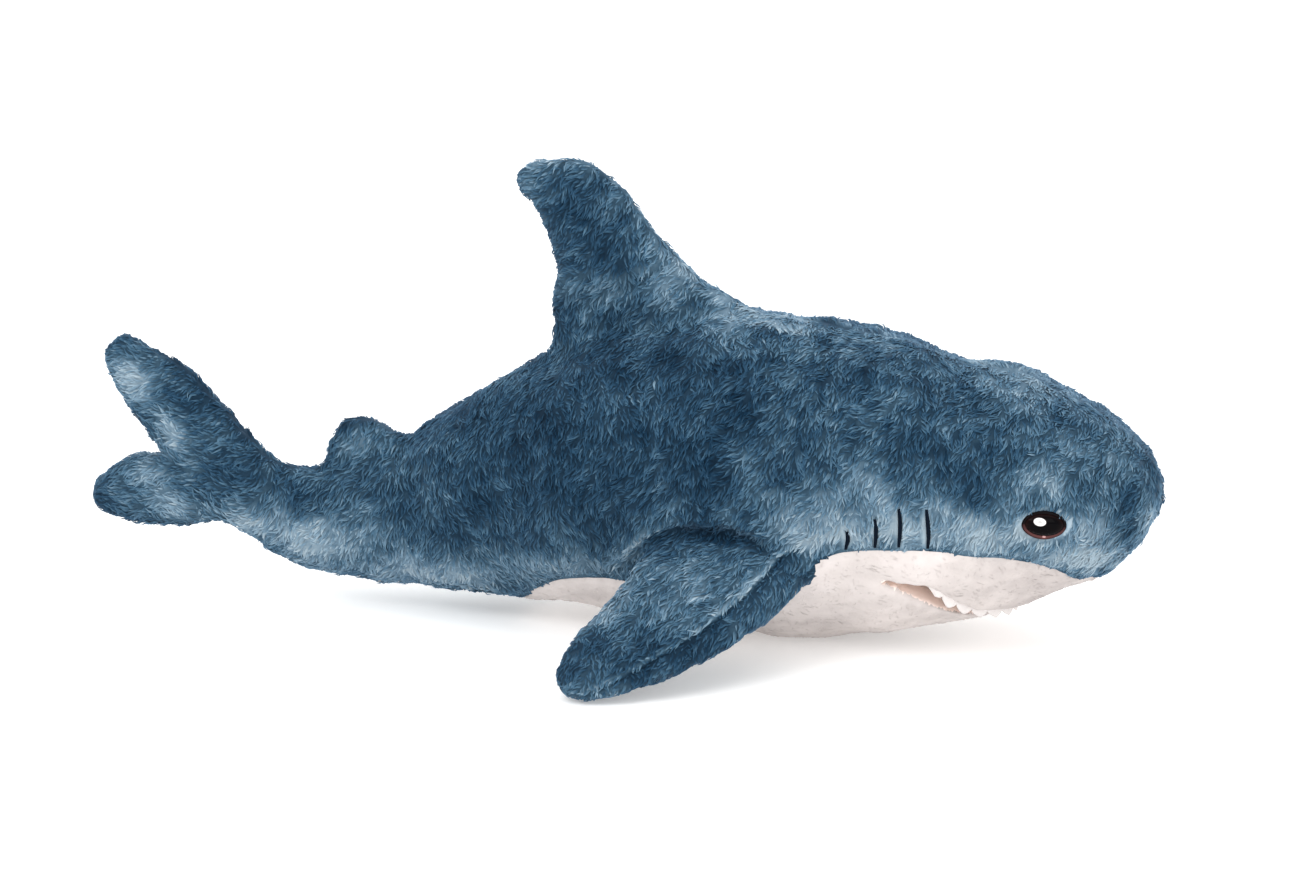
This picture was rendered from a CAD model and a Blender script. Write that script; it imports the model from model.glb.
"""Plush shark on a white studio floor, seen from its right and slightly above.

Lengths are mm in the shared frame, x forward, y to the shark's left and z up, until a mesh is made.
"""
import math

import bmesh
import bpy
import numpy as np
from mathutils import Matrix, Vector
from mathutils.bvhtree import BVHTree
from mathutils.kdtree import KDTree


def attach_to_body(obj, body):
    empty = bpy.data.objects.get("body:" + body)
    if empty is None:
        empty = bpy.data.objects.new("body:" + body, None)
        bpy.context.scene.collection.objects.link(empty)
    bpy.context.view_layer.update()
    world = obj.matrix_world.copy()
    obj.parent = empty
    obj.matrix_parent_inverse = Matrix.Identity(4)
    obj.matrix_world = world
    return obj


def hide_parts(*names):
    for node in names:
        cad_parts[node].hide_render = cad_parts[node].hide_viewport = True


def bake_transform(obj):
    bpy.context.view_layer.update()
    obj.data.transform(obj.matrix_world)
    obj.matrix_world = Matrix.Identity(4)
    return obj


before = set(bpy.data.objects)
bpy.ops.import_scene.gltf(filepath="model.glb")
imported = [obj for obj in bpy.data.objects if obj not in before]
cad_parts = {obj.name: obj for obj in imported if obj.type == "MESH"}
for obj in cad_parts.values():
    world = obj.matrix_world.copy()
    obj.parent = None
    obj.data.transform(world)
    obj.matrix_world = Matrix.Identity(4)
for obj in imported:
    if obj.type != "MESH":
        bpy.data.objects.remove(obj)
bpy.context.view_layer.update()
MM = 0.001
VOXEL = 2.0                      # grid of the common skin
SKIN_FLOOR, LOCK_FLOOR = 0.9, 0.25  # lowest places of the skin and of the pile
TAIL_X, TAIL_FIN_X = -45, -150   # where the tail and the tail fin are sewn on
NEAR_BODY = 7                    # a place this close to the plain body is on it, not on a fin
LOCK_POINTS = 7
CLUMP_SHARE = 0.13               # share of the locks that others lean toward
CURVE_SAMPLES, BODY_SAMPLES, LIP_SAMPLES = 200, 400, 30  # rows of the smoothed tables

# Loft stations in mm: front or upper point (x, z), rear or lower point (x, z), half width.
BODY = [
    ((-187, 82), (-187, 27.5), 9.5), ((-175, 71.5), (-175, 22.5), 11.5),
    ((-159, 69), (-159, 18), 15.5), ((-129, 76), (-129, 13.4), 23.0),
    ((-95, 94), (-95, 12.4), 32.0), ((-55, 125), (-55, 10.8), 44.0), ((-5, 148.5), (-5, 8), 60.0),
    ((46, 160), (46, 1), 70.0), ((89, 160.3), (89, 0.0), 72.5), ((131, 154), (131, 3.5), 71.0),
    ((168, 146.2), (168, 11.5), 67.5), ((201, 137.8), (201, 20.5), 60.0),
    ((229, 127.5), (229, 32.5), 50.5), ((250, 115), (250, 44), 38.0),
    ((264.5, 101.5), (264.5, 56), 25.0), ((271.2, 92.5), (271.2, 68), 14.0),
    ((273.6, 84), (273.6, 76), 4.0),
]
DORSAL = [
    ((99, 146), (-35, 127), 13.0), ((76.5, 163), (-31.5, 144), 14.0),
    ((51, 174), (-27.5, 163), 13.5), ((34, 185), (-25.5, 180), 13.0),
    ((21, 198.5), (-30, 194.5), 12.0), ((15, 211), (-37, 206.5), 11.0),
    ((6.5, 222.5), (-44.5, 216), 9.5), ((-4, 230.5), (-48.5, 223), 7.5),
    ((-12, 235.5), (-46.5, 228.5), 5.0), ((-20, 237.5), (-40, 233.5), 2.2),
]
CAUDAL_UPPER = [
    ((-163, 66), (-163, 22.5), 14.0), ((-179, 75), (-182, 27.5), 13.0),
    ((-194.5, 92.5), (-226, 65), 12.5), ((-210, 108), (-241, 83), 11.5),
    ((-225, 122.5), (-252.5, 100), 10.0), ((-242, 131.5), (-260.5, 114.5), 8.0),
    ((-252.5, 136), (-263, 125.5), 4.4),
]
CAUDAL_LOWER = [
    ((-163, 66), (-163, 22.5), 14.0), ((-177, 72), (-180, 23.5), 13.0),
    ((-204, 77), (-206, 37), 12.5), ((-231, 73), (-230, 36), 11.5),
    ((-252, 69), (-253, 33.5), 10.0), ((-266.5, 62.5), (-267.5, 38.0), 7.5),
    ((-273.5, 56), (-273.5, 45.5), 4.0),
]
SECOND_DORSAL = [
    ((-84, 80), (-151, 58), 9.5), ((-95, 86.5), (-148, 74), 9.0), ((-109, 90), (-145.5, 86), 8.0),
    ((-121, 95.5), (-143, 93.5), 6.0), ((-130, 98.5), (-140, 98), 3.0),
]
PECTORAL = [  # in the fin's own plane, second number away from the root axis
    ((121, -17), (30, -17), 12.5), ((117, 0), (27, 0), 13.0), ((107, 20), (23, 17), 13.0),
    ((94, 37), (17, 34), 11.2), ((79.5, 52), (10, 51), 9.4), ((61.5, 67), (3, 65), 7.9),
    ((46, 79), (-1, 76), 6.8), ((33, 86.5), (-1, 83), 5.6), ((22, 90.5), (5, 88), 3.4),
]
SEAM = [
    (-87, 3), (-61, 8), (-42, 14), (-30, 24), (-14, 32), (10, 35), (49, 32), (79, 30), (97, 36),
    (112, 51), (126, 61), (160, 64.5), (190, 61), (212, 57.5), (226, 52), (238, 44), (250, 39),
    (266, 37.5), (292, 37),
]
PECTORAL_AXIS = (65.0, 54.0)  # y and z
PECTORAL_DROOP = math.radians(33.0)
PECTORAL_ROOT = (np.array([27.0, -66, 54]), np.array([117.0, -66, 54]))
PECTORAL_SEAM = math.radians(50)
DORSAL_AXIS = (np.array([-38.0, 0, 134.5]), np.array([73.0, 0, 165.0]))
SECOND_AXIS = (np.array([-150.0, 0, 74.0]), np.array([-96.0, 0, 92.0]))
MOUTH_CORNER = np.array([147.0, 0.0, 44.2])
# Upper and lower edge of the mouth opening, x and z, the same through the whole width of the head.
UPPER_LIP = [
    (138, 49.5), (146, 49.5), (151, 48.6), (158, 47.0), (168, 43.6), (175, 37.2), (181, 32.4),
    (188, 27.8), (196, 24.8), (206, 22.5),
]
LOWER_LIP = [
    (138, 46.5), (146, 44.5), (151, 42.4), (161, 36.8), (168, 31.8), (173.5, 28), (181, 24),
    (188, 20.4), (196, 18), (206, 15.5),
]
# Gill lines on the right side: lower end x, z and upper end x, z.
GILLS = [
    (129.4, 64.0, 130.1, 73.5), (143.6, 66.0, 143.4, 80.0), (155.2, 66.5, 154.9, 85.5),
    (168.2, 65.5, 167.5, 85.0),
]
EYE = (222.5, 77.0)
EYE_LONG, EYE_HIGH, EYE_OUT = 9.8, 5.7, 3.8  # half sizes of the dome
EYE_TILT = math.radians(-8)


# ---------------------------------------------------------------- numbers
def smooth_table(rows, count):
    """Catmull-Rom curve through the rows, resampled evenly by row number."""
    rows = np.asarray(rows, float)
    padded = np.vstack([2 * rows[0] - rows[1], rows, 2 * rows[-1] - rows[-2]])
    step = np.linspace(0, len(rows) - 1, count)
    i = np.minimum(step.astype(int), len(rows) - 2)
    t = (step - i)[:, None]
    a, b, c, d = (padded[i + k] for k in range(4))
    return 0.5 * (2 * b + (c - a) * t + (2 * a - 5 * b + 4 * c - d) * t**2
                  + (3 * b - a - 3 * c + d) * t**3)


def bump(distance, width, power=2):
    """1 where the distance is 0, falling smoothly to 0 beyond the width."""
    return np.exp(-(distance / width) ** power)


def waves(points, length, seed, count=14, stretch=(1, 1, 1)):
    """Smooth noise from about -1 to 1 with features of the given length in mm."""
    rng = np.random.default_rng(seed)
    k = rng.normal(size=(count, 3))
    k /= np.linalg.norm(k, axis=1)[:, None]
    k *= 2 * np.pi / length * rng.uniform(0.6, 1.5, (count, 1)) / np.array(stretch)
    phase = rng.uniform(0, 2 * np.pi, count)
    return np.sin(points @ k.T + phase).sum(1) / math.sqrt(count) * 1.1


def segment_distance(points, a, b):
    """Distance from each point to the segment, and how far along it the nearest place is."""
    ab = b - a
    t = np.clip(((points - a) @ ab) / (ab @ ab), 0, 1)
    return np.linalg.norm(points - a - t[:, None] * ab, axis=1), t


def line_distance(points, line):
    """Distance from each point to a polyline."""
    line = [np.asarray(p, float) for p in line]
    return np.min([segment_distance(points, a, b)[0] for a, b in zip(line, line[1:])], axis=0)


def both_sides(points):
    """The points mirrored to the right side, so that one shape serves both."""
    q = points.copy()
    q[:, 1] = -np.abs(q[:, 1])
    return q


BODY_ROWS = smooth_table([(f[0], f[1], r[1], w) for f, r, w in BODY], BODY_SAMPLES)
FIN_ROWS = smooth_table([(f[1], f[0], r[0], t) for f, r, t in PECTORAL], CURVE_SAMPLES)
SEAM_CURVE = smooth_table(SEAM, CURVE_SAMPLES)


def rows_at(places, rows):
    """The three columns of a table read at the given places of its first column."""
    return (np.interp(places, rows[:, 0], rows[:, k]) for k in (1, 2, 3))


def body_depth(points):
    """How far each point is inside the plain body, in mm; negative outside."""
    x = points[:, 0]
    top, low, half = rows_at(x, BODY_ROWS)
    r = np.hypot((points[:, 2] - (top + low) / 2) / ((top - low) / 2), points[:, 1] / half)
    inside = (1 - r) * np.minimum((top - low) / 2, half)
    return np.where(x < BODY_ROWS[0, 0], np.minimum(inside, x - BODY_ROWS[0, 0]), inside)


def seam_height(x):
    """Height of the blue and white seam."""
    return np.interp(x, SEAM_CURVE[:, 0], SEAM_CURVE[:, 1])


def pectoral_frame(side):
    """Origin and outward direction of a pectoral fin."""
    out = np.array([0, side * math.cos(PECTORAL_DROOP), -math.sin(PECTORAL_DROOP)])
    return np.array([0, side * PECTORAL_AXIS[0], PECTORAL_AXIS[1]]), out


def fin_coordinates(points):
    """Pectoral place of each point: mm outward, if it is on the fin, mm above the front seam."""
    q = both_sides(points)
    origin, out = pectoral_frame(-1)
    rel = q - origin
    o, h = rel @ out, rel @ np.array([0, out[2], -out[1]])
    front, rear, half = rows_at(o, FIN_ROWS)
    c = (q[:, 0] - (front + rear) / 2) / ((front - rear) / 2)
    angle = np.arctan2(h / half, c)
    speed = np.hypot((front - rear) / 2 * np.sin(angle), half * np.cos(angle))
    on_fin = (o > 2) & (np.abs(h) < 22) & (np.hypot(c, h / half) < 1.5) & (o < 96)
    in_front = np.abs(angle) < math.radians(115)
    return o, on_fin, np.where(in_front, (angle - PECTORAL_SEAM) * speed, 50 * np.sign(angle))


def along_gills(q, margin):
    """For each gill line: how far each mirrored point is in front of it, and if they are level."""
    for x_low, low, x_high, high in GILLS:
        ahead = q[:, 0] - np.interp(q[:, 2], (low, high), (x_low, x_high))
        yield ahead, (q[:, 2] > low - margin) & (q[:, 2] < high + margin) & (q[:, 1] < -30)


# ---------------------------------------------------------------- meshes
def new_object(name, data):
    """Object in the scene from a mesh, lamp or camera."""
    obj = bpy.data.objects.new(name, data)
    bpy.context.scene.collection.objects.link(obj)
    return obj


def mesh_of(name, points, faces):
    """Mesh from points in mm."""
    mesh = bpy.data.meshes.new(name)
    mesh.from_pydata((np.asarray(points) * MM).tolist(), [], [tuple(map(int, f)) for f in faces])
    return mesh


def values_of(items, attribute, columns, kind=float):
    """One attribute of every item, a row for each."""
    flat = np.empty(len(items) * columns, kind)
    items.foreach_get(attribute, flat)
    return flat.reshape(-1, columns)


def outward(mesh):
    """Turn every face outward."""
    bm = bmesh.new()
    bm.from_mesh(mesh)
    bmesh.ops.recalc_face_normals(bm, faces=bm.faces)
    bm.to_mesh(mesh)
    bm.free()


def loft_mesh(name, stations, rings, around=64, place=None):
    """Closed mesh through elliptical rings."""
    rows = smooth_table([(f[0], f[1], r[0], r[1], w) for f, r, w in stations], rings)
    angle = np.linspace(0, 2 * np.pi, around, endpoint=False)
    front = np.stack([rows[:, 0], np.zeros(rings), rows[:, 1]], 1)
    rear = np.stack([rows[:, 2], np.zeros(rings), rows[:, 3]], 1)
    centre, half = (front + rear) / 2, (front - rear) / 2
    points = centre[:, None] + half[:, None] * np.cos(angle)[None, :, None]
    points[:, :, 1] += np.maximum(rows[:, 4], 0.5)[:, None] * np.sin(angle)[None]
    faces = []
    for ring in range(rings - 1):
        for k in range(around):
            n = (k + 1) % around
            faces.append((ring * around + k, ring * around + n,
                          (ring + 1) * around + n, (ring + 1) * around + k))
    faces.append(tuple(range(around - 1, -1, -1)))
    faces.append(tuple(range((rings - 1) * around, rings * around)))
    mesh = mesh_of(name, points.reshape(-1, 3), faces)
    if place is not None:
        mesh.transform(place)
    outward(mesh)
    return new_object(name, mesh)


def pectoral_place(side):
    """Matrix from the fin's own plane to its place on the body."""
    origin, out = pectoral_frame(side)
    forward = np.array([1.0, 0, 0])
    m = Matrix((Vector(forward), Vector(np.cross(out, forward)), Vector(out))).transposed().to_4x4()
    m.translation = Vector(origin * MM)
    return m


def apply_modifiers(obj):
    """Bake the object's modifiers into its mesh."""
    bpy.context.view_layer.update()
    evaluated = obj.evaluated_get(bpy.context.evaluated_depsgraph_get())
    mesh = bpy.data.meshes.new_from_object(evaluated)
    obj.modifiers.clear()
    obj.data = mesh


def join(objects, name):
    """One object from several."""
    bm = bmesh.new()
    for o in objects:
        bm.from_mesh(o.data)
        bpy.data.objects.remove(o)
    mesh = bpy.data.meshes.new(name)
    bm.to_mesh(mesh)
    bm.free()
    return new_object(name, mesh)


def mouth_wedge():
    """The open space between the jaws."""
    upper, lower = smooth_table(UPPER_LIP, LIP_SAMPLES), smooth_table(LOWER_LIP, LIP_SAMPLES)
    outline = np.vstack([upper, lower[::-1]])
    count = len(outline)
    points = [(x, y, z) for y in (-100.0, 100.0) for x, z in outline]
    faces = [tuple(range(count)), tuple(range(2 * count - 1, count - 1, -1))]
    faces += [(k, k + count, (k + 1) % count + count, (k + 1) % count) for k in range(count)]
    mesh = mesh_of("wedge", points, faces)
    outward(mesh)
    return new_object("wedge", mesh)


def build_whole():
    """Body and fins as one smooth closed mesh with the mouth cut in."""
    body = loft_mesh("body", BODY, 150, 96)
    wedge = mouth_wedge()
    boolean = body.modifiers.new("mouth", "BOOLEAN")
    boolean.operation = "DIFFERENCE"
    boolean.object = wedge
    boolean.solver = "EXACT"
    apply_modifiers(body)
    bpy.data.objects.remove(wedge)
    whole = join([
        body, loft_mesh("dorsal", DORSAL, 60), loft_mesh("upper", CAUDAL_UPPER, 50),
        loft_mesh("lower", CAUDAL_LOWER, 50), loft_mesh("second", SECOND_DORSAL, 30),
        loft_mesh("pr", PECTORAL, 60, place=pectoral_place(-1)),
        loft_mesh("pl", PECTORAL, 60, place=pectoral_place(1))], "whole")
    remesh = whole.modifiers.new("r", "REMESH")
    remesh.mode = "VOXEL"
    remesh.voxel_size = VOXEL * MM
    apply_modifiers(whole)
    return whole


whole = build_whole()
SKIN_MESH = whole.data
P = values_of(SKIN_MESH.vertices, "co", 3) / MM
EDGES = values_of(SKIN_MESH.edges, "vertices", 2, int)
QUADS = [tuple(p.vertices) for p in SKIN_MESH.polygons]
COUNT = np.bincount(EDGES.ravel(), minlength=len(P))[:, None]


def relax(points, weight, rounds):
    """Move each point toward the middle of its neighbours."""
    for _ in range(rounds):
        total = np.zeros_like(points)
        np.add.at(total, EDGES[:, 0], points[EDGES[:, 1]])
        np.add.at(total, EDGES[:, 1], points[EDGES[:, 0]])
        points = points + weight[:, None] * (total / COUNT - points)
    return points


def normals_of(points):
    """Direction of the skin at each vertex once it is moved to these points."""
    SKIN_MESH.vertices.foreach_set("co", (points * MM).ravel())
    SKIN_MESH.update()
    return values_of(SKIN_MESH.vertices, "normal", 3)


# ---------------------------------------------------------------- soft roots, folds and lumps
depth = body_depth(P)
near_dorsal = segment_distance(P, *DORSAL_AXIS)[0]
near_second = segment_distance(P, *SECOND_AXIS)[0]
near_pectoral = segment_distance(both_sides(P), *PECTORAL_ROOT)[0]
root = bump(near_dorsal, 20, 4) + bump(near_second, 17, 4) + bump(near_pectoral, 24, 4)
root = bump(depth, 9) * root
root += 0.8 * bump(P[:, 0] + 178, 14)
mouth_edge = (P[:, 0] > 134) & (P[:, 2] < 53)
P = relax(P, 0.5 * np.clip(root, 0, 1), 30)
P = relax(P, np.where(mouth_edge, 0.15, 0.5), 5)
PLAIN = P.copy()

# Fold of the body over the root of a pectoral fin, on the right side.
ARCH = [
    (15, -62, 44), (24, -65, 58), (33, -67, 68), (48, -69, 74.5), (71, -70.5, 76), (88, -71, 71),
    (99, -71, 60),
]
# Creases on the right side: line, amount, width.
CREASES = [
    ([(-24, -12, 160), (4, -13, 172), (31, -12, 184)], -2.6, 5.0),
    ([(-31, -14, 148), (2, -17, 156), (40, -18, 168), (66, -14, 172)], -2.2, 5.5),
    ([(42, -40, 160), (30, -62, 118), (34, -68, 84)], -2.4, 9.0),
    ([(62, -34, 158), (56, -62, 122), (58, -69, 92)], -1.6, 8.0),
    ([(20, -40, 150), (8, -58, 112), (14, -60, 74)], -1.4, 9.0),
    ([(118, -60, 130), (112, -70, 96)], -1.0, 8.0),
    ([(-98, -28, 74), (-92, -31, 44)], -1.6, 6.0),
    ([(-168, -11, 72), (-176, -10, 50), (-170, -10, 33)], -2.0, 6.0),
    ([(-186, -9, 60), (-214, -10, 74)], -1.2, 5.0),
]
Q = both_sides(P)
push = 1.4 * waves(P, 62, 3) + 0.55 * waves(P, 24, 5) + 0.25 * waves(P, 10, 6)
inner_arch = line_distance(Q, [(x, y, z - 6) for x, y, z in ARCH])
push += 2.8 * bump(line_distance(Q, ARCH), 5) - 4.2 * bump(inner_arch, 3.8)
for line, amount, width in CREASES:
    push += amount * bump(line_distance(Q, line), width)
seam_gap = P[:, 2] - seam_height(P[:, 0])
on_body = np.abs(body_depth(P)) < NEAR_BODY
push -= np.where(on_body, 1.0 * bump(seam_gap, 2.0), 0)
push -= 0.7 * bump(P[:, 1], 2.2) * (P[:, 2] > 60)
for ahead, level in along_gills(Q, 1):
    push -= np.where(level & on_body, 0.8 * bump(ahead, 2.2), 0)
on_head = on_body & (Q[:, 1] < -20)
eye_gap = np.hypot((Q[:, 0] - EYE[0]) / 1.35, Q[:, 2] - EYE[1])
push += np.where(on_head, -2.2 * bump(eye_gap, 8.5) + 1.0 * bump(eye_gap - 15, 6), 0)
push += np.where(on_head, -2.0 * bump(np.hypot((Q[:, 0] - 214) / 16, (Q[:, 2] - 68) / 10), 1), 0)
_, on_fin, above_seam = fin_coordinates(P)
push += np.where(on_fin, 0.9 * bump(above_seam - 2.6, 1.8) - 1.5 * bump(above_seam + 0.6, 1.5), 0)
in_mouth = (depth > 2.5) & mouth_edge
push[in_mouth] *= 0.2
push *= np.where((P[:, 2] < seam_height(P[:, 0]) - 3) & on_body, 0.6, 1.0)
P = P + normals_of(P) * push[:, None]

# The vertices beside the colour seam move onto it, so that the edge is clean.
seam_gap = P[:, 2] - seam_height(P[:, 0])
snap = (np.abs(seam_gap) < VOXEL * 0.55) & on_body & (P[:, 0] > -80) & (np.abs(P[:, 1]) > 3)
P[snap, 2] -= seam_gap[snap] * 0.97
P[:, 2] = np.maximum(P[:, 2], SKIN_FLOOR)
N = normals_of(P)

# ---------------------------------------------------------------- which face belongs to which piece
F = np.array(QUADS)
C = P[F].mean(1)
CD = body_depth(PLAIN[F].mean(1))
to_roof = line_distance(C[:, [0, 2]], smooth_table(UPPER_LIP, LIP_SAMPLES))
to_floor = line_distance(C[:, [0, 2]], smooth_table(LOWER_LIP, LIP_SAMPLES))
MID_LIP = (np.array(UPPER_LIP) + np.array(LOWER_LIP)) / 2
middle = np.interp(C[:, 0], MID_LIP[:, 0], MID_LIP[:, 1])
JAW_WAY = np.array([math.sqrt(0.5), 0, -math.sqrt(0.5)])
jaw_reach = (C - MOUTH_CORNER) @ JAW_WAY
white = (C[:, 2] < seam_height(C[:, 0])) & (C[:, 0] > TAIL_X)
mouth_faces = np.minimum(to_roof, to_floor) < 2.4
mouth_faces &= (C[:, 0] > 138) & (C[:, 2] < 51.5) & (CD > 1.6)
is_dorsal = (CD < -1.2) & (C[:, 2] > 126) & (C[:, 0] > -70) & (C[:, 0] < 84)
is_pectoral = (CD < -2.0) & (np.abs(C[:, 1]) > 48) & (C[:, 2] < 84) & (C[:, 0] < 130)
is_second = (CD < -1.0) & (np.abs(C[:, 1]) < 14) & (C[:, 2] > 70)
is_second &= (C[:, 0] > -152) & (C[:, 0] < -84)
right = C[:, 1] < 0
under_fin = fin_coordinates(C)[2] < 0

# The first rule that fits a face names its piece.
RULES = [
    (mouth_faces & (to_roof < to_floor), "mouth_roof"), (mouth_faces, "mouth_floor"),
    (is_dorsal & right, "dorsal_right"), (is_dorsal, "dorsal_left"),
    (is_pectoral & right & under_fin, "pectoral_under_right"),
    (is_pectoral & right, "pectoral_top_right"),
    (is_pectoral & under_fin, "pectoral_under_left"), (is_pectoral, "pectoral_top_left"),
    (is_second & right, "second_dorsal_right"), (is_second, "second_dorsal_left"),
    ((C[:, 0] < TAIL_FIN_X) & right, "tail_fin_right"), (C[:, 0] < TAIL_FIN_X, "tail_fin_left"),
    ((C[:, 0] < TAIL_X) & right, "tail_right"), (C[:, 0] < TAIL_X, "tail_left"),
    (white & (C[:, 0] > 146.5) & (C[:, 2] > middle), "snout"), (white & (jaw_reach > 0), "jaw"),
    (white, "belly"), (right, "torso_right"),
]
LABELS = np.select([rule for rule, _ in RULES], [label for _, label in RULES], "torso_left")

DORSAL_UP = np.cross(np.array([0, -1.0, 0]), (DORSAL_AXIS[1] - DORSAL_AXIS[0]))
DORSAL_UP /= np.linalg.norm(DORSAL_UP)
if DORSAL_UP[2] < 0:
    DORSAL_UP = -DORSAL_UP


def attach(piece, label):
    """Tie a piece to the body or the two bodies that its label belongs to."""
    if label.startswith("tail_fin"):
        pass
    elif label.startswith(("tail", "second")):
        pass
    elif label.startswith("dorsal"):
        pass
    elif label.startswith("pectoral"):
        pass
    elif label in ("jaw", "mouth_floor"):
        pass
    else:
        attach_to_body(piece, "torso")
        return
    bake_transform(piece)


# ---------------------------------------------------------------- colour tone and lie of the pile
# Brushed patches on the right side: x, z, spread along x, spread along z, lighter or darker.
PATCHES = [
    (-246, 112, 15, 17, 0.68), (-227, 84, 12, 13, 0.54), (-240, 60, 26, 14, 0.38),
    (-210, 45, 26, 9, 0.40), (-217, 104, 14, 6, -0.12), (-236, 128, 10, 6, -0.10),
    (-204, 92, 12, 12, 0.10), (-260, 50, 12, 12, 0.04), (-178, 46, 16, 12, 0.18),
    (-188, 41, 14, 8, 0.24), (-160, 68, 14, 8, 0.14), (-132, 43, 34, 15, 0.40),
    (-160, 32, 22, 12, 0.34), (-128, 86, 11, 8, 0.42), (-100, 76, 18, 9, 0.16),
    (-110, 16, 60, 9, 0.24), (-84, 27, 44, 11, 0.46), (-20, 40, 38, 10, 0.36),
    (16, 52, 12, 10, 0.20), (-64, 70, 22, 14, -0.06), (-18, 104, 36, 24, -0.12),
    (20, 96, 22, 30, -0.08), (8, 142, 24, 14, -0.10), (-2, 174, 24, 8, 0.22),
    (30, 178, 16, 12, 0.22), (62, 160, 12, 7, 0.26), (-40, 216, 8, 12, 0.22),
    (-15, 202, 16, 20, -0.08), (-32, 226, 12, 8, 0.04), (69, 114, 12, 26, -0.20),
    (46, 110, 8, 30, -0.06), (88, 130, 12, 16, -0.06), (86, 88, 14, 12, 0.08),
    (98, 152, 22, 6, 0.12), (36, 145, 18, 9, -0.12), (116, 96, 18, 14, 0.12),
    (118, 74, 20, 14, 0.48), (146, 98, 16, 10, 0.26), (158, 76, 26, 13, 0.48),
    (150, 128, 26, 10, 0.06), (186, 103, 13, 12, -0.26), (170, 118, 14, 8, -0.10),
    (200, 72, 19, 13, 0.62), (220, 98, 16, 10, 0.30), (202, 138, 20, 9, 0.20),
    (228, 112, 14, 10, 0.10), (232, 60, 18, 9, 0.46), (248, 54, 12, 8, 0.52),
    (246, 76, 9, 13, 0.44), (261, 84, 8, 11, -0.24), (269, 72, 6, 12, 0.34), (256, 98, 9, 9, 0.10),
    (102, 66, 12, 8, 0.12), (60, 92, 14, 10, -0.08),
]


SIDE_PLANE = np.array([1, 0, 1])
LEFT_SHIFT = 17.0  # the patches of the left side lie this much further back
DORSAL_EDGE = [
    (-40, 0, 234), (-20, 0, 238), (-4, 0, 231), (7, 0, 222), (16, 0, 211), (22, 0, 199),
    (34, 0, 186), (51, 0, 175), (75, 0, 164), (95, 0, 156),
]


def tone_of(points):
    """Lightness of the blue plush, 0 dark to 1 light."""
    x, y, z = points.T
    q = both_sides(points)
    tone = 0.33 + 0.0003 * x
    out, on_fin, gap = fin_coordinates(points)
    fin_tone = 0.34 * bump(gap - 2.8, 2.0) - 0.14 * bump(gap + 1.5, 2.5) + 0.05 * (gap < 0)
    fin_tone += 0.25 * bump(out - 30, 24) * (gap > 0) - 0.08 * bump(out - 64, 10)
    fin_tone += 0.14 * np.clip((out - 80) / 8, 0, 1)
    tone += np.where(on_fin, fin_tone, 0)
    tone += 0.30 * bump(line_distance(points * SIDE_PLANE, DORSAL_EDGE), 5.5) * (np.abs(y) < 18)
    tone += 0.13 * bump(y, 20) * (z > 105) * (x > -60) * (body_depth(points) > -4)
    shifted = x + np.where(y > 0, LEFT_SHIFT, 0.0)
    for px, pz, sx, sz, amount in PATCHES:
        tone += amount * np.exp(-((shifted - px) / sx) ** 2 - ((z - pz) / sz) ** 2)
    tone += 0.050 * waves(points, 46, 11) + 0.055 * waves(points, 19, 12, stretch=(1.6, 1, 1))
    wrinkle = np.clip(waves(points, 10, 16, stretch=(0.7, 1, 1.7)) + 0.1, -1.2, 0)
    tone += 0.17 * wrinkle * bump(x - 125, 75) * np.clip((z - 95) / 30, 0.15, 1)
    tone += 0.06 * waves(points, 8, 13, stretch=(1.8, 1, 1)) + 0.04 * waves(points, 4.5, 14)
    tone -= 0.24 * bump(line_distance(q, [(a, b, c - 8) for a, b, c in ARCH]), 5.5)
    tone += 0.62 * bump(line_distance(q, ARCH), 2.2)
    halo = np.hypot((x - EYE[0]) / 12.2, (z - EYE[1]) / 7.9)
    return tone + 0.30 * bump(halo - 1, 0.13) * (x > 200)


def lie_of(points, normals):
    """Unit direction in which the pile lies at each point."""
    x, y, z = points.T
    back = np.interp(x, [-270, -150, -60, 20, 90, 170, 230, 275],
                     [-1.0, -0.7, 0.15, -0.25, -0.45, -0.30, -0.2, -0.6])
    way = np.stack([back, np.sign(y) * 0.55, -0.85 + 0 * x], 1)
    way[:, 2] += np.interp(x, [-200, -150], [0.9, 0.0])
    way[(z > 160) & (x < 60)] = (-0.55, 0, -0.75)
    _, on_fin, gap = fin_coordinates(points)
    top = on_fin & (gap > 0)
    outward_way = np.sign(y[top])[:, None] * np.array([0, 0.7, 0])
    way[top] = outward_way + np.array([-0.55, 0, -0.45])
    way[on_fin & (gap <= 0)] = (-0.35, 0, -1)
    by_seam = bump(z - seam_height(x), 4) * (np.abs(body_depth(points)) < NEAR_BODY + 1)
    way[:, 2] *= 1 - 0.85 * by_seam
    way -= (way * normals).sum(1)[:, None] * normals
    way /= np.linalg.norm(way, axis=1)[:, None] + 1e-9
    turn = 0.36 * waves(points, 48, 21) + 0.34 * waves(points, 16, 22) + 0.22 * waves(points, 6, 23)
    side = np.cross(normals, way)
    return way * np.cos(turn)[:, None] + side * np.sin(turn)[:, None]


# ---------------------------------------------------------------- plush pieces
def unit(v):
    """Vectors of length 1."""
    return v / (np.linalg.norm(v, axis=-1, keepdims=True) + 1e-12)


SKIN = BVHTree.FromPolygons([Vector(p) for p in P], QUADS)


def on_skin(points, rise):
    """The points brought to the nearest place on the skin and raised above it."""
    placed = np.empty_like(points)
    for k, (point, up) in enumerate(zip(points, rise)):
        near, normal, _, _ = SKIN.find_nearest(Vector(point))
        placed[k] = near + normal * up
    return placed


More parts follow.
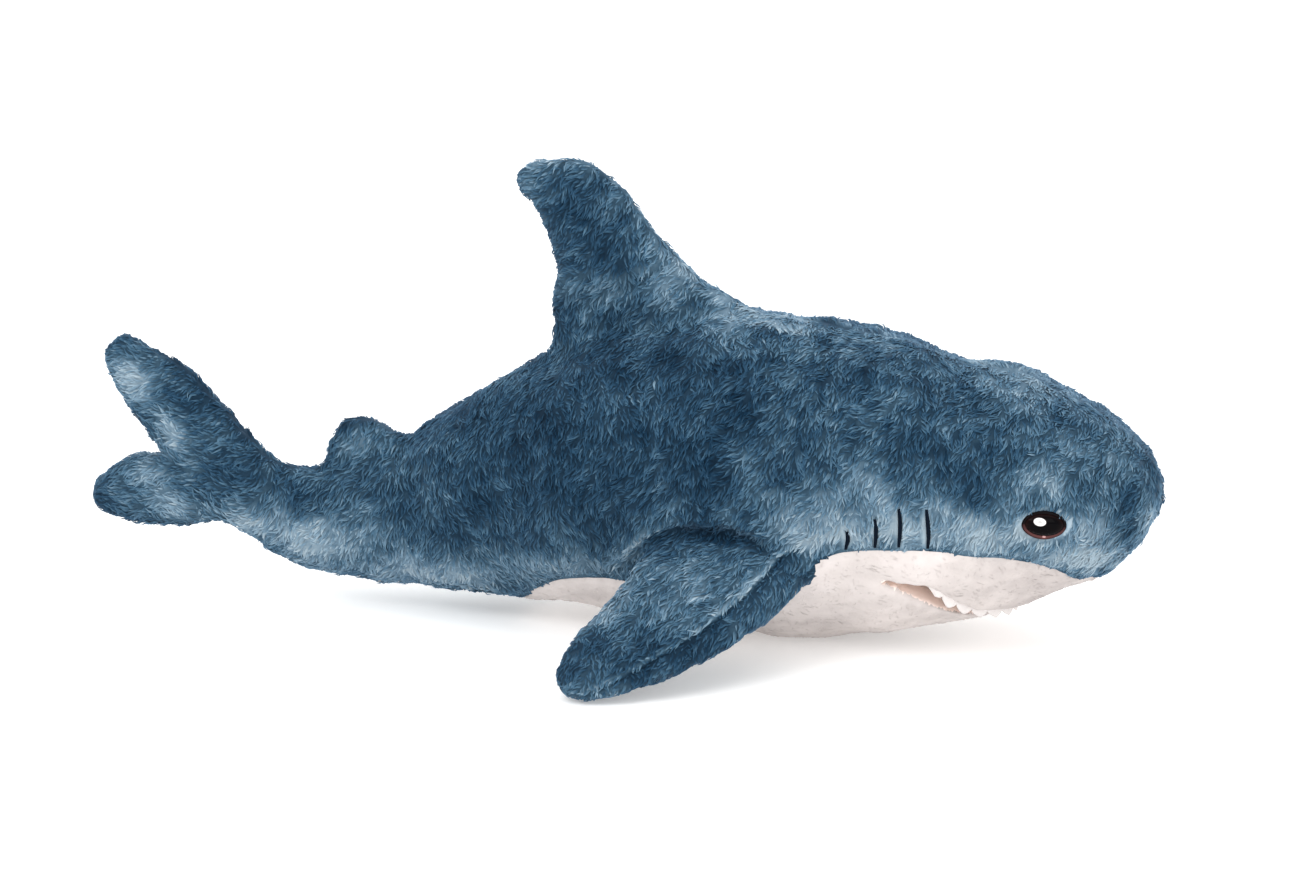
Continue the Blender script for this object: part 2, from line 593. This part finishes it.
def bare_spots(points):
    """Where the skin shows: on the gill lines and round the eyes."""
    q = both_sides(points)
    on = np.abs(body_depth(points)) < NEAR_BODY
    bare = np.zeros(len(points), bool)
    for ahead, level in along_gills(q, 0.5):
        bare |= (ahead > -1.8) & (ahead < 2.6) & level & on
    eye = np.hypot((q[:, 0] - EYE[0] - 1.0) / 1.75, q[:, 2] - EYE[1])
    return bare | (eye < 7.4) & on & (q[:, 1] < -20)


def no_pile(points):
    """Where no lock grows: bare spots and the edges of the mouth."""
    flat = points[:, [0, 2]]
    to_lip = np.minimum(line_distance(flat, UPPER_LIP), line_distance(flat, LOWER_LIP))
    return bare_spots(points) | (to_lip < 2.2)


def locks(faces, per_mm2, length, width, lift, seed):
    """Tapering locks of pile: points, normals, tip values, shades, quads, triangles, roots."""
    rng = np.random.default_rng(seed)
    quad = P[faces]
    area = 0.5 * np.linalg.norm(np.cross(quad[:, 2] - quad[:, 0], quad[:, 3] - quad[:, 1]), axis=1)
    number = np.floor(area * per_mm2 + rng.random(len(faces))).astype(int)
    pick = np.repeat(np.arange(len(faces)), number)
    u, v = rng.random((2, len(pick), 1))
    shares = ((1 - u) * (1 - v), u * (1 - v), u * v, (1 - u) * v)
    base = sum(k * P[faces[pick, i]] for i, k in enumerate(shares))
    normal = unit(sum(k * N[faces[pick, i]] for i, k in enumerate(shares)))
    keep = ~no_pile(base)
    base, normal = base[keep], normal[keep]
    n = len(base)
    way = lie_of(base, normal)
    side = np.cross(normal, way)
    clump = 1 + 0.28 * waves(base, 7, 31)
    long = length * clump * rng.uniform(0.72, 1.25, n)
    half = width * rng.uniform(0.75, 1.3, n) / 2
    rise = lift * (1 + 0.45 * waves(base, 11, 32) + rng.normal(0, 0.25, n)).clip(0.25, 2.2)
    swayed = unit(way + side * rng.normal(0, 0.16, n)[:, None])

    # Shorter beside the seams.
    near_seam = np.abs(base[:, 2] - seam_height(base[:, 0]))
    near_seam = np.where(np.abs(body_depth(base)) < NEAR_BODY + 1, near_seam, 99)
    long = long * np.clip(0.24 + near_seam / 10, 0, 1)
    _, on_fin, gap = fin_coordinates(base)
    long = long * np.where(on_fin, np.clip(0.4 + np.abs(gap) / 7, 0, 1), 1)

    # Leaning toward the nearest heart of a clump.
    tip = base + swayed * long[:, None]
    hearts = base[rng.random(n) < CLUMP_SHARE] if n else base
    if len(hearts):
        tree = KDTree(len(hearts))
        for k, heart in enumerate(hearts):
            tree.insert(Vector(heart), k)
        tree.balance()
        to_heart = np.array([hearts[tree.find(Vector(b))[1]] for b in base]) - base
        tip = tip + (to_heart - (to_heart * way).sum(1)[:, None] * way) * 0.6
    bent = (tip - base - way * long[:, None]) * 0.3
    mid = on_skin(base + way * (long * 0.5)[:, None] + bent, long * rise * 0.62)
    tip = on_skin(tip, long * rise * 0.80)

    # Two rings of three points and the tip.
    rings = []
    for centre, k, top in ((base - normal * 0.5, 1.0, 0.5), (mid, 0.85, 0.55)):
        rings.append(centre - side * (half * k)[:, None])
        rings.append(centre + normal * (half * top + 0.12)[:, None])
        rings.append(centre + side * (half * k)[:, None])
    points = np.stack(rings + [tip], 1)
    points[:, :, 2] = np.maximum(points[:, :, 2], LOCK_FLOOR)
    facing = [normal - side * 0.55, normal + way * 0.15, normal + side * 0.55]
    normals = unit(np.stack(facing + facing + [normal + way * 0.35], 1))
    start = np.arange(n)[:, None] * LOCK_POINTS
    quads, tris = (np.concatenate([start + np.array(corners) for corners in group]) for group in (
        ((0, 3, 4, 1), (1, 4, 5, 2), (2, 5, 3, 0)), ((3, 6, 4), (4, 6, 5), (5, 6, 3))))
    tips = np.tile(np.array([0, 0, 0, 0.6, 0.6, 0.6, 1.0]), n)
    shade = np.repeat(rng.normal(0, 1, n), LOCK_POINTS)
    return points.reshape(-1, 3), normals.reshape(-1, 3), tips, shade, quads, tris, base


def plush_piece(label, material, per_mm2, length, width, lift, tone, seed):
    """Skin and pile of one panel as one piece, tied to its body."""
    faces = F[LABELS == label]
    used, inverse = np.unique(faces, return_inverse=True)
    hair, hair_normals, hair_tips, shade, quads, tris, roots = locks(
        faces, per_mm2, length, width, lift, seed)
    points = np.vstack([P[used], hair])
    normals = np.vstack([N[used], hair_normals])
    quads = np.vstack([inverse.reshape(faces.shape), quads + len(used)])
    tris = tris + len(used)
    mesh = bpy.data.meshes.new(label)
    mesh.vertices.add(len(points))
    mesh.vertices.foreach_set("co", (points * MM).ravel())
    loops = np.concatenate([quads.ravel(), tris.ravel()])
    mesh.loops.add(len(loops))
    mesh.loops.foreach_set("vertex_index", loops.astype(np.int32))
    mesh.polygons.add(len(quads) + len(tris))
    starts = np.concatenate([np.arange(len(quads)) * 4, quads.size + np.arange(len(tris)) * 3])
    mesh.polygons.foreach_set("loop_start", starts.astype(np.int32))
    mesh.update(calc_edges=True)
    mesh.polygons.foreach_set("use_smooth", np.ones(len(mesh.polygons), bool))
    bare = bare_spots(P[used])
    skin_tone = tone(P[used]) + np.where(bare, 0.18, 0)
    tones = np.concatenate([skin_tone, np.repeat(tone(roots), LOCK_POINTS) + 0.085 * shade])
    tips = np.concatenate([np.where(bare, 0.65, 0.12), hair_tips])
    tips += (1 - tips) * np.clip((tones - 0.45) / 0.4, 0, 1) * 0.45  # calmer in light patches
    for name, values in (("tone", tones), ("tip", tips)):
        layer = mesh.attributes.new(name, "FLOAT", "POINT")
        layer.data.foreach_set("value", values.astype(np.float32))
    mesh.normals_split_custom_set_from_vertices(normals.tolist())
    flat_map(mesh, points, normals, label)
    mesh.materials.append(material)
    obj = new_object(label + "_plush", mesh)
    attach(obj, label)
    return obj


def flat_map(mesh, points, normals, label):
    """Texture coordinates straight through the piece, one half for each face of a flat piece."""
    flat_way = 2 if label.startswith(("pectoral", "belly", "jaw", "mouth")) else 1
    across = [k for k in range(3) if k != flat_way]
    low, high = points.min(0), points.max(0)
    size = max(high[across] - low[across])
    uv = (points[:, across] - low[across]) / size * 0.49
    uv[:, 0] += np.where(normals[:, flat_way] > 0, 0.5, 0.0)
    at_loops = uv[values_of(mesh.loops, "vertex_index", 1, np.int32).ravel()]
    layer = mesh.uv_layers.new(name="OFBake")
    layer.data.foreach_set("uv", at_loops.astype(np.float32).ravel())


# ---------------------------------------------------------------- materials
def srgb(*screen):
    """Linear colour from 0-255 screen values."""
    parts = [c / 255 for c in screen]
    return tuple(c / 12.92 if c <= 0.04045 else ((c + 0.055) / 1.055) ** 2.4 for c in parts) + (1,)


def math_node(nodes, operation, first=None, second=None):
    """Arithmetic node with its constants set."""
    node = nodes.new("ShaderNodeMath")
    node.operation = operation
    for place, value in ((1, first), (2, second)):
        if value is not None:
            node.inputs[place].default_value = value
    return node


def ramp_material(name, stops, rough, sheen=0.0, sheen_tint=(1, 1, 1, 1), noise_scale=700.0,
                  noise_amount=0.10, use_tone=True, root_dark=0.55):
    """Fabric whose colour follows the tone, the distance along a lock and a fine noise."""
    m = bpy.data.materials.new(name)
    m.use_nodes = True
    nodes, links = m.node_tree.nodes, m.node_tree.links
    shader = nodes["Principled BSDF"]
    place = nodes.new("ShaderNodeTexCoord")
    noise = nodes.new("ShaderNodeTexNoise")
    noise.inputs["Scale"].default_value = noise_scale
    noise.inputs["Detail"].default_value = 3
    links.new(place.outputs["Object"], noise.inputs["Vector"])
    spread = math_node(nodes, "MULTIPLY_ADD", noise_amount * 2, -noise_amount)
    links.new(noise.outputs["Fac"], spread.inputs[0])
    ramp = nodes.new("ShaderNodeValToRGB")
    ramp.color_ramp.interpolation = "LINEAR"
    elements = ramp.color_ramp.elements
    while len(elements) < len(stops):
        elements.new(0.5)
    for element, (position, colour) in zip(elements, stops):
        element.position = position
        element.color = srgb(*colour)
    total = math_node(nodes, "ADD", None if use_tone else 0.5)
    links.new(spread.outputs[0], total.inputs[0])
    if use_tone:
        tone = nodes.new("ShaderNodeAttribute")
        tone.attribute_name = "tone"
        links.new(tone.outputs["Fac"], total.inputs[1])
    links.new(total.outputs[0], ramp.inputs["Fac"])
    colour = ramp.outputs["Color"]
    if use_tone:
        tip = nodes.new("ShaderNodeAttribute")
        tip.attribute_name = "tip"
        shade = math_node(nodes, "MULTIPLY_ADD", 1.08 - root_dark, root_dark)
        links.new(tip.outputs["Fac"], shade.inputs[0])
        mixed = nodes.new("ShaderNodeVectorMath")
        mixed.operation = "SCALE"
        links.new(colour, mixed.inputs[0])
        links.new(shade.outputs[0], mixed.inputs["Scale"])
        colour = mixed.outputs["Vector"]
    links.new(colour, shader.inputs["Base Color"])
    for socket, value in (("Roughness", rough), ("Specular IOR Level", 0.06),
                          ("Sheen Weight", sheen), ("Sheen Roughness", 0.45),
                          ("Sheen Tint", sheen_tint)):
        shader.inputs[socket].default_value = value
    return m


blue_plush = ramp_material(
    "blue_plush", [(0.0, (18, 48, 71)), (0.3, (49, 82, 108)), (0.55, (82, 116, 140)),
                   (0.8, (124, 151, 170)), (1.0, (162, 181, 193))],
    0.85, 0.30, srgb(165, 195, 228), root_dark=0.26)
white_plush = ramp_material(
    "white_plush", [(0.0, (172, 164, 162)), (0.5, (203, 195, 192)), (1.0, (218, 210, 208))],
    0.9, 0.1, root_dark=0.98)
peach = ramp_material(
    "mouth_lining", [(0.0, (244, 222, 212)), (0.5, (252, 236, 228)), (1.0, (255, 244, 238))],
    0.8, 0.15, use_tone=False, noise_scale=400, noise_amount=0.3)
felt = ramp_material(
    "tooth_felt", [(0.0, (200, 194, 192)), (0.5, (218, 212, 210)), (1.0, (230, 225, 223))],
    0.9, 0.1, use_tone=False, noise_scale=900, noise_amount=0.3)
navy = ramp_material(
    "gill_thread", [(0.0, (1, 5, 12)), (0.5, (4, 14, 27)), (1.0, (12, 28, 46))], 0.7,
    use_tone=False, noise_scale=1500, noise_amount=0.4)


def white_tone(points):
    """Lightness of the white plush, a little darker toward the snout."""
    tone = 0.52 + 0.10 * waves(points, 30, 51) + 0.05 * waves(points, 9, 52)
    tone += 0.0015 * (points[:, 2] - 30)
    return tone - 0.34 * np.clip((points[:, 0] - 175) / 40, 0, 1)


BLUE = dict(per_mm2=0.385, length=4.7, width=1.1, lift=0.17, tone=tone_of, material=blue_plush)
WHITE = dict(per_mm2=0.12, length=1.7, width=0.7, lift=0.03, tone=white_tone, material=white_plush)
LINING = dict(per_mm2=0.0, length=1.0, width=1.0, lift=0.1, tone=white_tone, material=peach)
PANELS = [
    (BLUE, 100, ["torso_right", "torso_left", "tail_right", "tail_left",
                 "tail_fin_right", "tail_fin_left", "dorsal_right", "dorsal_left",
                 "second_dorsal_right", "second_dorsal_left", "pectoral_top_right",
                 "pectoral_top_left", "pectoral_under_right", "pectoral_under_left"]),
    (WHITE, 200, ["belly", "snout", "jaw"]),
    (LINING, 301, ["mouth_roof", "mouth_floor"]),
]
for style, first_seed, labels in PANELS:
    for order, label in enumerate(labels):
        plush_piece(label, seed=first_seed + order, **style)
bpy.data.objects.remove(whole)


# ---------------------------------------------------------------- eyes, teeth and gill stitches
def skin_at(x, z, side):
    """Place on the skin and its outward direction, seen straight from one side."""
    hit, normal, _, _ = SKIN.ray_cast(Vector((x, side * 300, z)), Vector((0, -side, 0)))
    normal = np.array(normal)
    return np.array(hit), normal * np.sign(normal[1] * side)


def tube(name, rings, material, closed=False, values=None):
    """Surface through rings of equal size: capped at both ends, or closed on itself."""
    rings = np.asarray(rings)
    count, around = rings.shape[:2]
    faces = []
    for i in range(count if closed else count - 1):
        for k in range(around):
            n, j = (k + 1) % around, (i + 1) % count
            faces.append((i * around + k, i * around + n, j * around + n, j * around + k))
    if not closed:
        faces.append(tuple(range(around - 1, -1, -1)))
        faces.append(tuple(range((count - 1) * around, count * around)))
    mesh = mesh_of(name, rings.reshape(-1, 3), faces)
    outward(mesh)
    for polygon in mesh.polygons:
        polygon.use_smooth = True
    if values is not None:
        layer = mesh.attributes.new("tone", "FLOAT", "POINT")
        layer.data.foreach_set("value", values.astype(np.float32).ravel())
    mesh.materials.append(material)
    return new_object(name, mesh)


def circle(count):
    """Evenly spaced angles of a full turn."""
    return np.linspace(0, 2 * np.pi, count, endpoint=False)


def oval(centre, across, up, angles):
    """Points round a centre at the given angles."""
    return centre + np.cos(angles)[:, None] * across + np.sin(angles)[:, None] * up


def eye_frame(side):
    """Centre of the eye on the skin, and its outward, forward and upward directions."""
    around = [skin_at(EYE[0] + dx, EYE[1] + dz, side) for dx in (-9, 0, 9) for dz in (-6, 0, 6)]
    out = unit(sum(n for _, n in around))
    centre = sum(p for p, _ in around) / len(around)
    forward = unit(np.array([1.0, 0, 0]) - out[0] * out)
    up = unit(np.cross(forward, out) * side)
    if up[2] < 0:
        up = -up
    c, s = math.cos(EYE_TILT), math.sin(EYE_TILT)
    return centre, out, forward * c + up * s, up * c - forward * s


def make_eye(side):
    """Glossy dome in a dark rim."""
    name = "right" if side < 0 else "left"
    centre, out, forward, up = eye_frame(side)
    centre = centre + out * 0.6
    turn = circle(120)
    rows, shine = [], []
    for a in np.linspace(0.01, math.pi * 0.6, 70):
        r, h = math.sin(a), math.cos(a)
        across, tall = r * np.cos(turn) * EYE_LONG, r * np.sin(turn) * EYE_HIGH
        rows.append(centre + out * (EYE_OUT * h) + across[:, None] * forward + tall[:, None] * up)
        spot = np.hypot((across + 3.2) / 3.0, (tall - 2.1) / 1.9)
        if h <= 0:
            spot[:] = 9.0
        glint = 0.84 * np.clip((1.06 - spot) / 0.14, 0, 1)
        glint = glint * (1 - 0.35 * np.clip((0.5 - spot) / 0.25, 0, 1))
        shine.append(np.maximum(glint, 0.07 * r ** 8))
    dome = tube("eye_" + name + "_dome", rows, eye_black, values=np.array(shine))
    rim_rows, tones = [], []
    ring = circle(14)
    for a in circle(72):
        direction = math.cos(a) * forward * EYE_LONG + math.sin(a) * up * EYE_HIGH
        place = centre + direction * 1.03 - out * 0.1
        away = unit(direction)
        low = max(0.0, -math.sin(a))
        thick = 1.0 + 0.75 * low
        rim_rows.append(oval(place, away * thick, out * 1.1, ring))
        glint = 0.4 * math.exp(-((a - 1.52 * math.pi) / 0.10) ** 2)
        lit = np.clip(1.35 - np.abs(np.cos(ring) + 0.1) * 1.2, 0, 1) * (np.sin(ring) > 0)
        tones.append((0.74 * low ** 0.5 + glint) * lit)
    rim = tube("eye_rim_" + name + "_ring", rim_rows, rim_brown, closed=True,
               values=np.array(tones))
    return dome, rim


def lip_curve(count):
    """Points along the upper lip from the right corner round the front to the left corner."""
    xs, z = smooth_table(UPPER_LIP, 600).T
    top, low, half = rows_at(xs, BODY_ROWS)
    inside = 1 - ((z - (top + low) / 2) / ((top - low) / 2)) ** 2
    keep = (inside > 0) & (xs > 149)
    y = half[keep] * np.sqrt(inside[keep])
    right_side = np.stack([xs[keep], -y, z[keep]], 1)
    curve = np.vstack([right_side, (right_side * np.array([1, -1, 1]))[::-1]])
    run = np.concatenate([[0], np.cumsum(np.linalg.norm(np.diff(curve, axis=0), axis=1))])
    even = np.linspace(0, run[-1], count)
    return np.stack([np.interp(even, run, curve[:, k]) for k in range(3)], 1), run[-1]


def make_teeth():
    """A strip of white felt cut into broad points behind the upper lip."""
    curve, length = lip_curve(2000)
    last = len(curve) - 1
    pitch, high, thick, steps, peak = 10.4, 4.4, 1.5, 14, 0.62
    first, final = 0.11 * length, 0.89 * length
    count = round((final - first) / pitch)
    pitch = (final - first) / count
    rings = []
    for k in range(count * steps + 1):
        s = first + k / steps * pitch
        place = min(int(s / length * last), last - 3)
        at = curve[place]
        along = unit(curve[place + 3] - at)
        way = 1 if at[1] < 0 else -1
        inward = unit(np.array([168.0, 0, at[2]]) - at)
        inward = unit(inward - (inward @ along) * along)
        down = np.cross(along, inward)
        down *= -np.sign(down[2])
        t = (k % steps) / steps
        t = t if way > 0 else 1 - t
        point = (t / peak) ** 0.5 if t < peak else ((1 - t) / (1 - peak)) ** 0.5
        ends = min(1.0, 0.35 + 0.9 * min(k, count * steps - k) / (2 * steps))
        reach = high * (0.12 + 0.88 * point) * ends
        lean = along * way * 0.8 * point
        centre = at + inward * 1.5
        ring = []
        for angle in circle(12):
            low_part = math.sin(angle) < 0
            fall = reach * -math.sin(angle) if low_part else -2.6 * math.sin(angle)
            half = thick / 2 * (1 - 0.35 * (fall > 0) * min(1, fall / high))
            sideways = inward * half * math.cos(angle)
            ring.append(centre + down * fall + sideways + (lean if low_part else 0))
        rings.append(ring)
    return tube("upper_teeth_felt", rings, felt)


def make_gills(side):
    """Four flattened runs of dark thread along the gill lines."""
    name = "gill_thread_" + ("right" if side < 0 else "left")
    ring = circle(10)
    parts = []
    for number, (x_low, low, x_high, high) in enumerate(GILLS):
        rows = []
        for t in np.linspace(0, 1, 26):
            bow = 0.8 * math.sin(math.pi * t)
            place, out = skin_at(x_low + (x_high - x_low) * t + bow, low + (high - low) * t, side)
            thick = 1.05 * (0.35 + 0.65 * math.sin(math.pi * min(max(t, 0.06), 0.94)) ** 0.4)
            forward = unit(np.array([1.0, 0, 0]) - out[0] * out)
            rows.append(oval(place + out, forward * thick, out * 0.7, ring))
        parts.append(tube(name + str(number), rows, navy))
    whole_gill = join(parts, name)
    whole_gill.data.materials.append(navy)
    for polygon in whole_gill.data.polygons:
        polygon.use_smooth = True
    return whole_gill


def glossy_material(name, stops):
    """Polished plastic with a faint depth of colour."""
    m = ramp_material(name, stops, 0.06, noise_scale=300, noise_amount=0.015, root_dark=1.08)
    m.node_tree.nodes["Principled BSDF"].inputs["Specular IOR Level"].default_value = 0.04
    return m


eye_black = glossy_material("eye_plastic", [
    (0.0, (5, 4, 6)), (0.12, (40, 18, 14)), (0.2, (60, 50, 50)), (0.85, (236, 234, 234))])
rim_brown = glossy_material("eye_rim", [
    (0.0, (14, 10, 12)), (0.9, (98, 62, 61)), (1.0, (190, 150, 148))])

teeth = make_teeth()
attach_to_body(teeth, "torso")
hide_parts("upper_teeth")
for side in (-1, 1):
    name = "right" if side < 0 else "left"
    dome, rim = make_eye(side)
    gills = make_gills(side)
    for thing, node, slot in ((dome, "eye_", "eye_plastic"), (rim, "eye_rim_", "eye_rim"),
                              (gills, "gill_stitches_", "thread")):
        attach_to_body(thing, "torso")
        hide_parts(node + name)

STANDS_FOR = {
    "torso_right": ["torso_skin_right", "torso_filling", "eye_washer_right"],
    "torso_left": ["torso_skin_left", "eye_washer_left"],
    "belly": ["belly_panel"], "snout": ["snout_panel"], "mouth_roof": ["mouth_roof_lining"],
    "mouth_floor": ["jaw_lining"], "jaw": ["jaw_skin", "jaw_filling"],
    "tail_right": ["tail_skin_right", "tail_filling"], "tail_left": ["tail_skin_left"],
    "second_dorsal_right": ["second_dorsal_right"], "second_dorsal_left": ["second_dorsal_left"],
    "tail_fin_right": ["caudal_skin_right", "caudal_filling"],
    "tail_fin_left": ["caudal_skin_left"],
    "dorsal_right": ["dorsal_skin_right", "dorsal_filling"], "dorsal_left": ["dorsal_skin_left"],
    "pectoral_top_right": ["pectoral_top_right", "pectoral_filling_right"],
    "pectoral_top_left": ["pectoral_top_left", "pectoral_filling_left"],
    "pectoral_under_right": ["pectoral_under_right"],
    "pectoral_under_left": ["pectoral_under_left"],
}
for label, nodes in STANDS_FOR.items():
    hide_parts(*nodes)


# ---------------------------------------------------------------- studio
def paper_material():
    """White paper that hardly shows a shadow."""
    m = bpy.data.materials.new("paper")
    m.use_nodes = True
    nodes, links = m.node_tree.nodes, m.node_tree.links
    shader = nodes["Principled BSDF"]
    noise = nodes.new("ShaderNodeTexNoise")
    noise.inputs["Scale"].default_value = 6
    ramp = nodes.new("ShaderNodeValToRGB")
    ramp.color_ramp.elements[0].color = (0.90, 0.90, 0.895, 1)
    ramp.color_ramp.elements[1].color = (0.93, 0.93, 0.925, 1)
    links.new(noise.outputs["Fac"], ramp.inputs["Fac"])
    links.new(ramp.outputs["Color"], shader.inputs["Base Color"])
    links.new(ramp.outputs["Color"], shader.inputs["Emission Color"])
    shader.inputs["Roughness"].default_value = 0.9
    shader.inputs["Emission Strength"].default_value = 0.28
    return m


def area_light(name, place, aim, size, power):
    """Rectangular lamp pointed at a place, both in metres."""
    lamp = bpy.data.lights.new(name, "AREA")
    lamp.shape = "RECTANGLE"
    lamp.size, lamp.size_y = size
    lamp.energy = power
    obj = new_object(name, lamp)
    obj.location = place
    obj.rotation_euler = (Vector(aim) - Vector(place)).to_track_quat("-Z", "Y").to_euler()


FLOOR_HALF = 6000
corners = [(-FLOOR_HALF, -FLOOR_HALF, 0), (FLOOR_HALF, -FLOOR_HALF, 0),
           (FLOOR_HALF, FLOOR_HALF, 0), (-FLOOR_HALF, FLOOR_HALF, 0)]
paper = mesh_of("floor", corners, [(0, 1, 2, 3)])
paper.materials.append(paper_material())
floor = new_object("floor", paper)

world = bpy.data.worlds.new("studio")
bpy.context.scene.world = world
world.use_nodes = True
background = world.node_tree.nodes["Background"]
background.inputs["Color"].default_value = (1, 1, 1, 1)
background.inputs["Strength"].default_value = 1.12
area_light("key", (-0.55, -1.25, 1.35), (0, 0, 0.08), (0.9, 0.7), 9.5)
area_light("fill", (1.2, -1.0, 0.7), (0.1, 0, 0.08), (0.8, 0.8), 3.4)
area_light("top", (0.1, 0.1, 1.7), (0, 0, 0.1), (2.4, 2.0), 11)
bpy.context.scene.view_settings.view_transform = "Standard"

AZIMUTH, ELEVATION = math.radians(12), math.radians(15)
DISTANCE, VIEW_WIDTH, SENSOR = 2.2, 0.643, 36  # metres, metres at the aim, mm
AIM = Vector((0.0162, 0.0, 0.094))
camera = bpy.data.cameras.new("camera")
camera.sensor_width = SENSOR
camera.lens = SENSOR * DISTANCE / VIEW_WIDTH
camera_obj = new_object("camera", camera)
back = Vector((math.sin(AZIMUTH) * math.cos(ELEVATION), -math.cos(AZIMUTH) * math.cos(ELEVATION),
               math.sin(ELEVATION)))
camera_obj.location = AIM + back * DISTANCE
camera_obj.rotation_euler = back.to_track_quat("Z", "Y").to_euler()
bpy.context.scene.camera = camera_obj
